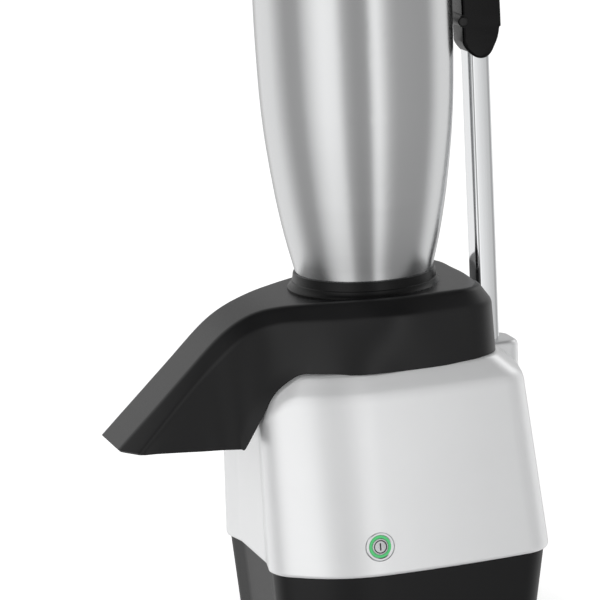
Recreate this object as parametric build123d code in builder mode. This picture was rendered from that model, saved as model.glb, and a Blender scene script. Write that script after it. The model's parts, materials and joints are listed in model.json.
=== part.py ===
from build123d import *
import math
import os

os.makedirs("parts", exist_ok=True)

# Motor-driven ice crusher with a hand lever. Millimetres, +Z up.
# The origin is on the table plane, under the middle of the object's box.
# Drawing coordinates below are measured from the hopper's axis, which
# stands AX to the right of the origin: X to the column, Y to the back.

AX = 45.97
DZ = 26.0              # the drawing datum lies this far above the table

# ---- heights ----
Z_FOOT = 5.0          # base plate underside, on top of the rubber feet
Z_SKIRT = 6.0         # lower edge of the black base skirt
Z_BORDER = 44.0       # joint between base skirt and silver housing
Z_CREASE = 187.0      # where the housing's face turns into its shoulder
Z_SEAT = 203.6        # top of the housing
Z_BODY = 204.4        # lower edge of the black crusher body
Z_EDGE = 247.7        # lower edge of the body's top bevel
Z_TOP = 259.7         # top face of the body
Z_RIM = 520.0         # hopper rim
Z_PIVOT = 536.0       # lever axis

# ---- housing plan, at the border ----
X_NOSE = -25.0        # widest station of the plan
W_HALF = 111.2        # half width there
X_BACK = 132.4        # back end of the plan
X_WING = -109.4       # left end, tips of the shallow recess
X_FLAT = -104.8       # left end, recess floor
WALL = 3.5            # casting wall
SKIN = 3.0            # moulded wall

# ---- spout ----
Z_MOUTH = 149.0       # spout mouth, level with the table
X_LIP = -224.0        # spout tip
X_MOUTH = -131.0      # inner corner of the mouth

# ---- hopper ----
HOPPER = [(262.0, 56.3), (268.0, 56.5), (274.0, 57.3), (281.0, 59.1), (288.0, 60.9), (298.0, 63.3),
          (308.0, 65.5), (318.0, 67.5), (328.0, 69.3), (338.0, 71.0),
          (349.0, 72.6), (359.0, 74.0), (369.0, 75.3), (379.0, 76.5),
          (389.0, 77.6), (399.0, 78.5), (409.0, 79.3), (429.0, 80.4),
          (449.0, 81.1), (469.0, 81.6), (489.0, 81.9), (505.0, 82.0),
          (Z_RIM - 2.0, 82.0)]
T_HOPPER = 1.0

# ---- column ----
COL_X0, COL_X1, COL_Y = 95.4, 114.0, 11.5
Z_COL0, Z_COL1 = 178.0, 514.0

# ---- lever ----
X_PIVOT = 107.0
R_PIN = 4.0
ARM_HALF = 6.3
LEVER_TIP = -176.0

# ---- drive ----
R_SHAFT = 6.0
R_ROTOR = 59.0
R_LINER = 63.0

# ---- button ----
BTN_X, BTN_Y, BTN_Z = -31.0, -109.0, 65.7
DRAFT = math.degrees(math.atan((W_HALF - 96.5) / (Z_CREASE - Z_BORDER)))


def ground(z):
    """Horizontal plane z above the table, origin on the hopper axis."""
    return Plane(origin=(AX, 0, z), x_dir=(1, 0, 0), z_dir=(0, 0, 1))


def level(z):
    """Horizontal plane at height z above the drawing datum."""
    return ground(z + DZ)


def side(y=0.0):
    """Upright plane seen from the front: u is X, v is Z, normal points to -Y."""
    return Plane(origin=(AX, y, DZ), x_dir=(1, 0, 0), z_dir=(0, -1, 0))


def station(x):
    """Upright cross plane at x: u is Y, v is Z."""
    return Plane(origin=(AX + x, 0, DZ), x_dir=(0, 1, 0), z_dir=(1, 0, 0))


def factors(z):
    """Plan scale of the housing at height z: across, right of the nose, left of it."""
    if z <= Z_CREASE:
        t = (z - Z_BORDER) / (Z_CREASE - Z_BORDER)
        return 1 + t * (96.5 / W_HALF - 1), 1 + t * (143.4 / 157.4 - 1), 1.0
    t = (z - Z_CREASE) / (Z_SEAT - Z_CREASE)
    ky = 96.5 / W_HALF + t * (85.6 / W_HALF - 96.5 / W_HALF)
    kx = 143.4 / 157.4 + t * (124.0 / 157.4 - 143.4 / 157.4)
    return ky, kx, 1.0 - 0.13 * t


def plan(ky, kx, kl):
    """Outline of the housing as a face, scaled across, right and left of the nose."""
    def m(x, y):
        sx = kx if x > X_NOSE else kl
        return (X_NOSE + (x - X_NOSE) * sx, y * ky)

    def q(p, s):
        return (p[0], p[1] * s)
    nose = m(X_NOSE, -W_HALF)
    mid = m(40.0, -108.6)
    fr = m(100.0, -101.8)
    with BuildSketch(Plane.XY, mode=Mode.PRIVATE) as face:
        with BuildLine():
            for s in (1, -1):
                Line(m(X_FLAT, 0.0), q(m(X_FLAT, -38.0), s))
                Line(q(m(X_FLAT, -38.0), s), q(m(X_WING, -62.0), s))
                Spline([q(m(X_WING, -62.0), s), q(m(-104.5, -76.0), s), q(m(-92.5, -87.5), s),
                        q(m(-72.9, -100.2), s), q(m(-51.0, -108.2), s), q(nose, s)],
                       tangents=[(0.12 * kl, -1.0 * s * ky), (1.0, 0.0)])
                ThreePointArc(q(nose, s), q(mid, s), q(fr, s))
                Spline([q(fr, s), q(m(117.0, -92.0), s), q(m(124.5, -72.0), s)],
                       tangents=[(0.989 * kx, 0.150 * s * ky), (0.24 * kx, 0.976 * s * ky)])
            ThreePointArc(m(124.5, -72.0), m(X_BACK, 0.0), m(124.5, 72.0))
        make_face()
    return face.sketch


def inset(z, t):
    """Factors of the same outline, taken in by t."""
    ky, kx, kl = factors(z)
    return ky - t / W_HALF, kx - t / 157.4, kl - t / 84.4


# =====================================================================
# 1. Feet, base plate, base skirt
# =====================================================================
FEET = [(-78.0, -62.0), (-78.0, 62.0), (92.0, -70.0), (92.0, 70.0)]

with BuildPart() as rubber_feet:
    with BuildSketch(ground(0)):
        with Locations(*FEET):
            Circle(11.0)
    extrude(amount=Z_FOOT)
    chamfer(rubber_feet.faces().sort_by(Axis.Z)[:4].edges(), 1.0)
    with BuildSketch(ground(1.6)):
        with Locations(*FEET):
            Circle(2.1)
    extrude(amount=Z_FOOT, mode=Mode.SUBTRACT)
rubber_feet.part.label = "rubber_feet"

with BuildPart() as foot_screws:
    with BuildSketch(ground(1.8)):
        with Locations(*FEET):
            Circle(2.0)
    extrude(amount=8.4)
    with BuildSketch(ground(7.2)):
        with Locations(*FEET):
            Circle(4.0)
    extrude(amount=3.0)
foot_screws.part.label = "foot_screws"

with BuildPart() as bottom_plate:
    with BuildSketch(ground(Z_FOOT)):
        add(plan(0.927 - 8.0 / W_HALF, 0.940 - 8.0 / 157.4, 0.940 - 8.0 / 84.4))
        with GridLocations(15.0, 0.0, 7, 1):
            with Locations((0.0, -34.0), (0.0, 34.0)):
                SlotOverall(34.0, 5.0, rotation=90, mode=Mode.SUBTRACT)
    extrude(amount=2.0)
    with BuildSketch(ground(Z_FOOT)):
        with Locations(*FEET):
            Circle(2.1)
        with Locations((-50.0, -86.0), (-50.0, 86.0), (60.0, -86.0), (60.0, 86.0)):
            Circle(2.1)
    extrude(amount=4.0, mode=Mode.SUBTRACT)
bottom_plate.part.label = "bottom_plate"

SKIRT_POSTS = [(-50.0, -86.0), (-50.0, 86.0), (60.0, -86.0), (60.0, 86.0)]
with BuildPart() as base_skirt:
    with BuildSketch(ground(Z_SKIRT)):
        add(plan(0.927, 0.940, 0.940))
    with BuildSketch(level(Z_BORDER)):
        add(plan(0.996, 0.996, 0.996))
    loft()
    with BuildSketch(ground(Z_SKIRT)):
        add(plan(0.927 - SKIN / W_HALF, 0.940 - SKIN / 157.4, 0.940 - SKIN / 84.4))
    with BuildSketch(level(Z_BORDER)):
        add(plan(0.996 - SKIN / W_HALF, 0.996 - SKIN / 157.4, 0.996 - SKIN / 84.4))
    loft(mode=Mode.SUBTRACT)
    # inner ledge that takes the base plate's screws
    with BuildSketch(ground(7.2)):
        add(plan(0.930 - 1.5 / W_HALF, 0.943 - 1.5 / 157.4, 0.943 - 1.5 / 84.4))
        with Locations((8.0, 0.0)):
            RectangleRounded(176.0, 150.0, 20.0, mode=Mode.SUBTRACT)
    extrude(amount=3.0)
    with BuildSketch(ground(7.0)):
        with Locations(*FEET):
            Circle(5.0)
        with Locations(*SKIRT_POSTS):
            Circle(1.9)
    extrude(amount=6.0, mode=Mode.SUBTRACT)
base_skirt.part.label = "base_skirt"

with BuildPart() as base_screws:
    with BuildSketch(ground(Z_FOOT - 1.8)):
        with Locations(*SKIRT_POSTS):
            Circle(3.4)
    extrude(amount=1.8)
    with BuildSketch(ground(Z_FOOT)):
        with Locations(*SKIRT_POSTS):
            Circle(1.8)
    extrude(amount=5.2)
    chamfer(base_screws.faces().sort_by(Axis.Z)[:4].edges(), 0.6)
base_screws.part.label = "base_screws"

# =====================================================================
# 2. Silver housing
# =====================================================================
# Corner of the housing under the spout, seen from the front: the left wall
# stands up to z 160 and then turns over in a large radius.
CORNER = [(X_WING, 160.0), (-104.6, 178.0), (-96.0, 190.4), (-86.0, 198.3), (-74.0, Z_SEAT)]
CORNER_IN = [(-105.6, 160.0), (-101.2, 176.6), (-93.4, 187.7), (-84.4, 194.9), (-74.0, Z_SEAT - WALL)]

BTN_PLANE = Plane(origin=(AX + BTN_X, BTN_Y, BTN_Z + DZ), x_dir=(1, 0, 0),
                  z_dir=(0, -math.cos(math.radians(DRAFT)), math.sin(math.radians(DRAFT))))
GLAND_X, GLAND_Z = 62.0, 66.0
GLAND_PLANE = Plane(origin=(AX + GLAND_X, 104.6, GLAND_Z + DZ), x_dir=(-1, 0, 0), z_dir=(0, 1, 0))

BOSSES = [(-62.0, -60.0), (-62.0, 60.0), (70.0, -69.5), (70.0, 69.5)]

with BuildPart() as main_housing:
    with BuildSketch(level(Z_BORDER)):
        add(plan(*factors(Z_BORDER)))
    with BuildSketch(level(Z_CREASE)):
        add(plan(*factors(Z_CREASE)))
    loft()
    with BuildSketch(level(Z_CREASE)):
        add(plan(*factors(Z_CREASE)))
    with BuildSketch(level(Z_SEAT)):
        add(plan(*factors(Z_SEAT)))
    loft()
    # boss that carries the column, standing out of the back shoulder
    with BuildSketch(level(150.0)):
        with Locations((108.0, 0.0)):
            RectangleRounded(37.0, 34.0, 8.0)
    extrude(amount=49.5)
    # hollow
    with BuildSketch(level(Z_BORDER)):
        add(plan(*inset(Z_BORDER, WALL)))
    with BuildSketch(level(Z_CREASE - 2.0)):
        add(plan(*inset(Z_CREASE - 2.0, WALL)))
    loft(mode=Mode.SUBTRACT)
    with BuildSketch(level(Z_CREASE - 2.0)):
        add(plan(*inset(Z_CREASE - 2.0, WALL)))
    with BuildSketch(level(Z_SEAT - WALL)):
        add(plan(*inset(Z_SEAT - WALL, WALL + 1.5)))
    loft(mode=Mode.SUBTRACT)
    # solid root of the column boss inside the shell
    with BuildSketch(level(158.0)):
        with Locations((106.5, 0.0)):
            RectangleRounded(32.0, 33.0, 7.0)
    extrude(amount=40.0)
    # corner turned over under the spout
    with BuildSketch(side()):
        with BuildLine():
            Line((-116.0, 160.0), CORNER[0])
            Spline(CORNER, tangents=[(0.0, 1.0), (1.0, 0.0)])
            Polyline(CORNER[-1], (-74.0, Z_SEAT + 8.0), (-116.0, Z_SEAT + 8.0), (-116.0, 160.0))
        make_face()
    extrude(amount=130.0, both=True, mode=Mode.SUBTRACT)
    # the shell's wall behind that corner
    with BuildSketch(side()):
        with BuildLine():
            Line((X_WING, 150.0), CORNER[0])
            Spline(CORNER, tangents=[(0.0, 1.0), (1.0, 0.0)])
            Polyline(CORNER[-1], (-70.0, Z_SEAT), (-70.0, Z_SEAT - WALL), CORNER_IN[-1])
            Spline(list(reversed(CORNER_IN)), tangents=[(-1.0, 0.0), (0.0, -1.0)])
            Polyline(CORNER_IN[0], (CORNER_IN[0][0], 150.0), (X_WING, 150.0))
        make_face()
    extrude(amount=66.0, both=True)
    # column socket and its screw
    with BuildSketch(level(Z_COL0)):
        with Locations(((COL_X0 + COL_X1) / 2, 0.0)):
            RectangleRounded(COL_X1 - COL_X0 + 0.2, 2 * COL_Y + 0.2, 4.1)
    extrude(amount=40.0, mode=Mode.SUBTRACT)
    with BuildSketch(Plane(origin=(AX + 112.0, 0, 190.0 + DZ), x_dir=(0, 1, 0), z_dir=(1, 0, 0))):
        Circle(3.1)
    extrude(amount=30.0, mode=Mode.SUBTRACT)
    # shaft hole, screw holes for the crusher body
    with BuildSketch(level(190.0)):
        Circle(22.0)
        with Locations(*BOSSES):
            Circle(2.7)
    extrude(amount=20.0, mode=Mode.SUBTRACT)
    # button hole and gland hole
    with BuildSketch(BTN_PLANE.offset(-12.0)):
        Circle(11.1)
    extrude(amount=24.0, mode=Mode.SUBTRACT)
    with BuildSketch(GLAND_PLANE.offset(-12.0)):
        Circle(8.1)
    extrude(amount=30.0, mode=Mode.SUBTRACT)
    # flat seats for the bezel, its nut and the gland
    with BuildSketch(BTN_PLANE.offset(-0.5)):
        Circle(12.1)
    extrude(amount=6.0, mode=Mode.SUBTRACT)
    with BuildSketch(BTN_PLANE.offset(-3.9)):
        Circle(15.4)
    extrude(amount=-4.0, mode=Mode.SUBTRACT)
    with BuildSketch(GLAND_PLANE.offset(-1.6)):
        Circle(11.2)
    extrude(amount=10.0, mode=Mode.SUBTRACT)
    with BuildSketch(GLAND_PLANE.offset(-9.0)):
        Circle(12.4)
    extrude(amount=4.4, mode=Mode.SUBTRACT)
main_housing.part.label = "main_housing"


# =====================================================================
# 3. Crusher body with the spout
# =====================================================================
# cross sections from the hopper's axis to the spout's tip:
# x, top half width, top z, bevel half width, bevel z, lower half width, lower z
RIBS = [
    (0.0, 69.0, 259.7, 82.0, 247.7, 85.5, 204.4),
    (-25.0, 63.0, 259.2, 74.5, 246.9, 87.0, 204.4),
    (-40.0, 57.0, 258.4, 68.5, 246.3, 84.0, 204.4),
    (-55.0, 50.5, 257.4, 62.0, 245.9, 77.5, 204.4),
    (-70.0, 43.5, 256.2, 55.0, 245.3, 69.5, 203.0),
    (-85.0, 36.5, 254.6, 48.0, 244.3, 64.5, 194.0),
    (-100.0, 30.5, 251.6, 42.3, 241.0, 61.5, 183.0),
    (-115.0, 28.0, 246.0, 40.0, 235.5, 63.5, 163.0),
    (-130.0, 27.3, 236.9, 39.3, 225.8, 67.0, 145.0),
    (-145.0, 26.8, 224.0, 38.8, 212.8, 63.5, 140.0),
    (-160.0, 26.6, 209.4, 39.5, 199.2, 60.5, 140.0),
    (-175.0, 26.8, 195.0, 41.0, 184.8, 57.0, 138.0),
    (-190.0, 27.0, 180.6, 43.0, 169.9, 54.0, 134.0),
    (-205.0, 27.0, 166.4, 45.0, 155.0, 51.0, 128.0),
    (-226.0, 27.0, 146.4, 47.6, 133.9, 50.0, 112.0),
]
# lower edge of the body, seen from the front
CHIN = [(-107.0, 182.6), (-99.0, 192.6), (-90.0, 199.2), (-76.0, Z_BODY)]


def rib(row, t=0.0):
    """Cross section of the body at one station, taken in by t."""
    x, h, zt, ws, zs, wl, zl = row
    h, zt, ws, zs, wl = h - 0.75 * t, zt - t, ws - t, zs - 0.6 * t, wl - t
    with BuildSketch(Plane.XY, mode=Mode.PRIVATE) as face:
        with BuildLine():
            Polyline((-h, zt), (h, zt), (ws, zs), (wl, zl), (-wl, zl), (-ws, zs), close=True)
        make_face()
    return face.sketch


def rear(w0, w1, cx, cy, xr, t=0.0):
    """Plan of the body behind the hopper's axis, taken in by t."""
    w0, w1, cx, cy, xr = w0 - t, w1 - t, cx - t, cy - 0.8 * t, xr - t
    with BuildSketch(Plane.XY, mode=Mode.PRIVATE) as face:
        with BuildLine():
            for s in (1, -1):
                Line((0.0, 0.0), (0.0, -s * w0))
                ThreePointArc((0.0, -s * w0), (33.0, -s * (w0 * 0.49 + w1 * 0.51 + 1.0)), (62.0, -s * w1))
                Spline([(62.0, -s * w1), (cx - 6.0, -s * (cy + 7.5)), (cx, -s * cy)],
                       tangents=[(0.99, 0.13 * s), (0.16, 0.98 * s)])
            ThreePointArc((cx, -cy), (xr, 0.0), (cx, cy))
        make_face()
    return face.sketch


BACK_PLAN = {Z_BODY: (85.5, 78.6, 88.0, 62.0, 94.6),
             Z_EDGE: (82.0, 76.4, 86.6, 60.5, 93.2),
             Z_TOP: (69.0, 67.2, 79.4, 55.0, 84.4)}

# inside of the body, open at the mouth and over the housing
with BuildPart() as body_core:
    for row in RIBS:
        with BuildSketch(station(row[0])):
            add(rib(row, SKIN))
    loft()
    with BuildSketch(side()):
        with BuildLine():
            Polyline((4.0, Z_BODY - 4.0), (4.0, 300.0), (-240.0, 300.0), (-240.0, 100.0), (-157.0, 108.0),
                     (CHIN[0][0] - 2.2, CHIN[0][1] + 2.6))
            Spline([(CHIN[0][0] - 2.2, CHIN[0][1] + 2.6), (-101.0, 195.2), (-91.4, 202.2), (-76.0, Z_BODY + 3.2)],
                   tangents=[(0.62, 0.78), (1.0, 0.0)])
            Polyline((-76.0, Z_BODY + 3.2), (-70.0, Z_BODY + 3.2), (-70.0, Z_BODY - 4.0), (4.0, Z_BODY - 4.0))
        make_face()
    extrude(amount=120.0, both=True, mode=Mode.INTERSECT)
    for z0, z1 in ((Z_BODY, Z_EDGE), (Z_EDGE, Z_TOP)):
        with BuildSketch(level(z0 if z0 == Z_BODY else z0 - 1.8)):
            add(rear(*BACK_PLAN[z0], t=SKIN))
        with BuildSketch(level(z1 - (1.8 if z1 == Z_EDGE else 3.0))):
            add(rear(*BACK_PLAN[z1], t=SKIN))
        loft()

with BuildPart() as crusher_body:
    for row in RIBS:
        with BuildSketch(station(row[0])):
            add(rib(row))
    loft()
    # mouth and chin: keep what lies above the lower edge
    with BuildSketch(side()):
        with BuildLine():
            Polyline((4.0, Z_BODY), (4.0, 300.0), (-240.0, 300.0), (-240.0, Z_MOUTH), (X_MOUTH, Z_MOUTH), CHIN[0])
            Spline(CHIN, tangents=[(0.62, 0.78), (1.0, 0.0)])
            Line(CHIN[-1], (4.0, Z_BODY))
        make_face()
    extrude(amount=120.0, both=True, mode=Mode.INTERSECT)
    for z0, z1 in ((Z_BODY, Z_EDGE), (Z_EDGE, Z_TOP)):
        with BuildSketch(level(z0)):
            add(rear(*BACK_PLAN[z0]))
        with BuildSketch(level(z1)):
            add(rear(*BACK_PLAN[z1]))
        loft()
    add(body_core.part, mode=Mode.SUBTRACT)
    with BuildSketch(level(Z_TOP)):
        Rectangle(700.0, 500.0)
    extrude(amount=20.0, mode=Mode.SUBTRACT)
    # throat under the hopper
    with BuildSketch(level(250.0)):
        Circle(57.6)
    extrude(amount=20.0, mode=Mode.SUBTRACT)
    # screw posts
    with BuildSketch(level(Z_BODY)):
        with Locations(*BOSSES):
            Circle(6.0)
    extrude(amount=19.0)
    with BuildSketch(level(Z_BODY)):
        with Locations(*BOSSES):
            Circle(2.1)
    extrude(amount=16.0, mode=Mode.SUBTRACT)
crusher_body.part.label = "crusher_body"

with BuildPart() as body_gasket:
    with BuildSketch(level(Z_SEAT)):
        add(rear(*BACK_PLAN[Z_BODY], t=0.9))
        with BuildLine():
            Polyline((1.0, -84.6), (-25.0, -86.0), (-40.0, -83.0), (-55.0, -76.5), (-72.4, -66.6), (-72.4, 66.6),
                     (-55.0, 76.5), (-40.0, 83.0), (-25.0, 86.0), (1.0, 84.6), close=True)
        make_face()
        with BuildLine():
            Polyline((1.0, -82.6), (-25.0, -84.0), (-40.0, -81.0), (-55.0, -74.4), (-70.0, -64.6), (-70.0, 64.6),
                     (-55.0, 74.4), (-40.0, 81.0), (-25.0, 84.0), (1.0, 82.6), close=True)
        make_face(mode=Mode.SUBTRACT)
        add(rear(*BACK_PLAN[Z_BODY], t=2.9), mode=Mode.SUBTRACT)
    extrude(amount=Z_BODY - Z_SEAT)
body_gasket.part.label = "body_gasket"

with BuildPart() as body_screws:
    with BuildSketch(level(Z_SEAT - WALL - 4.0)):
        with Locations(*BOSSES):
            Circle(4.2)
            RegularPolygon(2.2, 6, mode=Mode.SUBTRACT)
    extrude(amount=4.0)
    with BuildSketch(level(Z_SEAT - WALL - 1.6)):
        with Locations(*BOSSES):
            Circle(2.0)
    extrude(amount=20.0)
body_screws.part.label = "body_screws"

# =====================================================================
# 4. Crushing chamber
# =====================================================================
with BuildPart() as chamber_floor:
    with BuildSketch(level(Z_BODY)):
        add(rear(*BACK_PLAN[Z_BODY], t=4.2))
        with BuildLine():
            Polyline((1.0, -81.0), (-25.0, -81.6), (-40.0, -78.8), (-55.0, -72.6), (-69.4, -63.6), (-69.4, 63.6),
                     (-55.0, 72.6), (-40.0, 78.8), (-25.0, 81.6), (1.0, 81.0), close=True)
        make_face()
        Circle(16.2, mode=Mode.SUBTRACT)
        with Locations(*BOSSES):
            Circle(6.2, mode=Mode.SUBTRACT)
    extrude(amount=2.0)
chamber_floor.part.label = "chamber_floor"

with BuildPart() as chamber_liner:
    with BuildSketch(level(Z_BODY + 2.0)):
        Circle(R_LINER + 1.5)
        Circle(R_LINER, mode=Mode.SUBTRACT)
    extrude(amount=46.0)
    # window to the spout
    with BuildSketch(station(-80.0)):
        with Locations((0.0, 227.0)):
            RectangleRounded(78.0, 37.0, 4.0)
    extrude(amount=60.0, mode=Mode.SUBTRACT)
chamber_liner.part.label = "chamber_liner"

with BuildPart() as breaker_bars:
    with BuildSketch(level(221.0)):
        with PolarLocations(R_LINER - 2.05, 5, start_angle=-120.0, angular_range=240.0, endpoint=True):
            Rectangle(4.0, 5.0)
    extrude(amount=28.0)
    chamfer(breaker_bars.faces().filter_by(Axis.Z).edges(), 0.6)
breaker_bars.part.label = "breaker_bars"

with BuildPart() as shaft_seal:
    with BuildSketch(side()):
        with BuildLine():
            Polyline((R_SHAFT + 0.08, 196.0), (27.0, 196.0), (27.0, Z_SEAT - WALL), (21.9, Z_SEAT - WALL),
                     (21.9, 202.6), (16.0, 202.6), (16.0, 208.6),
                     (9.0, 210.4), (R_SHAFT + 0.08, 210.4), close=True)
        make_face()
    revolve(axis=Axis((AX, 0, 0), (0, 0, 1)))
shaft_seal.part.label = "shaft_seal"

with BuildPart() as rotor_disc:
    with BuildSketch(side()):
        with BuildLine():
            Polyline((R_SHAFT, 211.6), (15.0, 211.6), (17.0, 213.0), (R_ROTOR, 213.0), (R_ROTOR, 217.0),
                     (20.0, 217.0), (14.0, 221.0), (14.0, 229.0), (R_SHAFT, 229.0), close=True)
        make_face()
    revolve(axis=Axis((AX, 0, 0), (0, 0, 1)))
    with BuildSketch(level(212.0)):
        with PolarLocations(44.0, 6):
            SlotOverall(14.0, 4.0, rotation=60)
    extrude(amount=6.0, mode=Mode.SUBTRACT)
rotor_disc.part.label = "rotor_disc"

# crushing blades: upright plates bolted to the disc, with a raked tip
with BuildPart() as rotor_blades:
    for turn in (0.0, 120.0, 240.0):
        blade = Plane(origin=(AX, 0, DZ), x_dir=(math.cos(math.radians(turn)), math.sin(math.radians(turn)), 0),
                      z_dir=(math.sin(math.radians(turn)), -math.cos(math.radians(turn)), 0))
        with BuildSketch(blade.offset(-2.5)):
            with BuildLine():
                Polyline((20.5, 217.0), (56.0, 217.0), (56.0, 243.0), (44.0, 238.0), (31.0, 232.0), (20.5, 228.5),
                         close=True)
            make_face()
        extrude(amount=5.0)
rotor_blades.part.label = "rotor_blades"

with BuildPart() as rotor_nut:
    with BuildSketch(level(229.0)):
        RegularPolygon(11.0, 6)
    extrude(amount=8.0)
    with BuildSketch(level(237.0)):
        Circle(9.0)
    extrude(amount=4.0, taper=28)
    with BuildSketch(level(229.0)):
        Circle(R_SHAFT)
    extrude(amount=7.0, mode=Mode.SUBTRACT)
rotor_nut.part.label = "rotor_nut"

# =====================================================================
# 5. Motor
# =====================================================================
with BuildPart() as motor_shaft:
    with BuildSketch(side()):
        with BuildLine():
            Polyline((0.0, 52.0), (5.0, 52.0), (5.0, 62.0), (R_SHAFT, 63.0), (R_SHAFT, 84.0), (27.0, 84.0),
                     (27.0, 150.0), (R_SHAFT, 150.0), (R_SHAFT, 235.0), (5.0, 236.0), (0.0, 236.0), close=True)
        make_face()
    revolve(axis=Axis((AX, 0, 0), (0, 0, 1)))
motor_shaft.part.label = "motor_shaft"

with BuildPart() as motor_can:
    with BuildSketch(side()):
        with BuildLine():
            Polyline((13.1, 66.0), (46.0, 66.0), (50.0, 70.0), (50.0, 168.0), (46.0, 172.0), (13.1, 172.0),
                     (13.1, 160.0), (30.0, 156.0), (30.0, 78.0), (13.1, 76.0), close=True)
        make_face()
    revolve(axis=Axis((AX, 0, 0), (0, 0, 1)))
    with BuildSketch(level(60.0)):
        with PolarLocations(38.0, 8):
            SlotOverall(14.0, 5.0, rotation=90)
    extrude(amount=14.0, mode=Mode.SUBTRACT)
    # mounting ears under the plate
    with BuildSketch(level(168.0)):
        with GridLocations(76.0, 76.0, 2, 2):
            Circle(9.0)
        Circle(30.5, mode=Mode.SUBTRACT)
    extrude(amount=4.0)
    with BuildSketch(level(168.0)):
        with GridLocations(76.0, 76.0, 2, 2):
            Circle(2.6)
    extrude(amount=4.0, mode=Mode.SUBTRACT)
motor_can.part.label = "motor_can"

for name, z0 in (("upper_bearing", 162.0), ("lower_bearing", 66.5)):
    with BuildPart() as bearing:
        with BuildSketch(side()):
            with BuildLine():
                Polyline((R_SHAFT + 0.05, z0), (13.0, z0), (13.0, z0 + 8.0), (R_SHAFT + 0.05, z0 + 8.0), close=True)
            make_face()
            with Locations((9.6, z0 - 0.2), (9.6, z0 + 8.2)):
                Rectangle(3.0, 1.6, mode=Mode.SUBTRACT)
        revolve(axis=Axis((AX, 0, 0), (0, 0, 1)))
    bearing.part.label = name
    if name == "upper_bearing":
        upper_bearing = bearing
    else:
        lower_bearing = bearing

with BuildPart() as cooling_fan:
    with BuildSketch(level(52.0)):
        Circle(12.0)
        Circle(5.0, mode=Mode.SUBTRACT)
    extrude(amount=9.0)
    with BuildSketch(level(52.0)):
        Circle(42.0)
        Circle(11.0, mode=Mode.SUBTRACT)
    extrude(amount=1.6)
    with BuildSketch(level(53.0)):
        with PolarLocations(26.0, 9):
            Rectangle(30.0, 1.6, rotation=28)
    extrude(amount=8.0)
cooling_fan.part.label = "cooling_fan"

with BuildPart() as motor_plate:
    with BuildSketch(level(172.0)):
        RectangleRounded(150.0, 118.0, 12.0)
        Circle(15.0, mode=Mode.SUBTRACT)
        with GridLocations(76.0, 76.0, 2, 2):
            Circle(2.6, mode=Mode.SUBTRACT)
        with GridLocations(128.0, 96.0, 2, 2):
            Circle(2.6, mode=Mode.SUBTRACT)
    extrude(amount=4.0)
motor_plate.part.label = "motor_plate"

with BuildPart() as motor_screws:
    with BuildSketch(level(164.8)):
        with GridLocations(76.0, 76.0, 2, 2):
            Circle(3.5)
    extrude(amount=3.2)
    with BuildSketch(level(166.0)):
        with GridLocations(76.0, 76.0, 2, 2):
            Circle(2.5)
    extrude(amount=11.0)
    with BuildSketch(level(176.0)):
        with GridLocations(76.0, 76.0, 2, 2):
            RegularPolygon(4.6, 6)
    extrude(amount=3.2)
motor_screws.part.label = "motor_screws"

with BuildPart() as plate_spacers:
    with BuildSketch(level(176.0)):
        with GridLocations(128.0, 96.0, 2, 2):
            Circle(5.0)
    extrude(amount=Z_SEAT - WALL - 176.0 - 0.0)
plate_spacers.part.label = "plate_spacers"

# =====================================================================
# 6. Hopper and collar
# =====================================================================
with BuildPart() as hopper_collar:
    with BuildSketch(side()):
        with BuildLine():
            Polyline((55.2, 256.2), (57.5, 256.2), (57.5, Z_TOP), (64.4, Z_TOP), (64.4, 261.6), (63.8, 262.6))
            Spline([(63.8, 262.6), (62.2, 264.2), (60.9, 266.6)], tangents=[(-1.0, 0.75), (-0.35, 1.0)])
            Polyline((60.9, 266.6), (60.1, 267.2), (59.4, 272.8), (58.8, 274.2), (57.5, 274.2), (57.0, 271.0), (56.62, 268.2), (56.4, 264.0),
                     (56.4, 261.95), (55.2, 261.95), (55.2, 256.2))
        make_face()
    revolve(axis=Axis((AX, 0, 0), (0, 0, 1)))
hopper_collar.part.label = "hopper_collar"

with BuildPart() as hopper:
    with BuildSketch(side()):
        with BuildLine():
            outer_line = Spline([(r, z) for z, r in HOPPER])
            inner_line = Spline([(r - T_HOPPER, z) for z, r in HOPPER])
            Line(outer_line @ 0, inner_line @ 0)
            # rolled rim
            Line(inner_line @ 1, (82.0 - T_HOPPER, Z_RIM - 0.2))
            ThreePointArc((82.0 - T_HOPPER, Z_RIM - 0.2), (83.4, Z_RIM + 1.7), (85.4, Z_RIM - 0.6))
            ThreePointArc((85.4, Z_RIM - 0.6), (84.6, Z_RIM - 3.0), (82.0, Z_RIM - 2.0))
        make_face()
    revolve(axis=Axis((AX, 0, 0), (0, 0, 1)))
hopper.part.label = "hopper"

# =====================================================================
# 7. Column, its head, the lever
# =====================================================================
COL_X = (COL_X0 + COL_X1) / 2
with BuildPart() as column:
    with BuildSketch(level(Z_COL0)):
        with Locations((COL_X, 0.0)):
            RectangleRounded(COL_X1 - COL_X0, 2 * COL_Y, 4.0)
            RectangleRounded(COL_X1 - COL_X0 - 4.0, 2 * COL_Y - 4.0, 2.2, mode=Mode.SUBTRACT)
    extrude(amount=Z_COL1 - Z_COL0)
    with BuildSketch(Plane(origin=(AX + 100.0, 0, 190.0 + DZ), x_dir=(0, 1, 0), z_dir=(1, 0, 0))):
        Circle(2.6)
    extrude(amount=20.0, mode=Mode.SUBTRACT)
column.part.label = "column"

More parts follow.
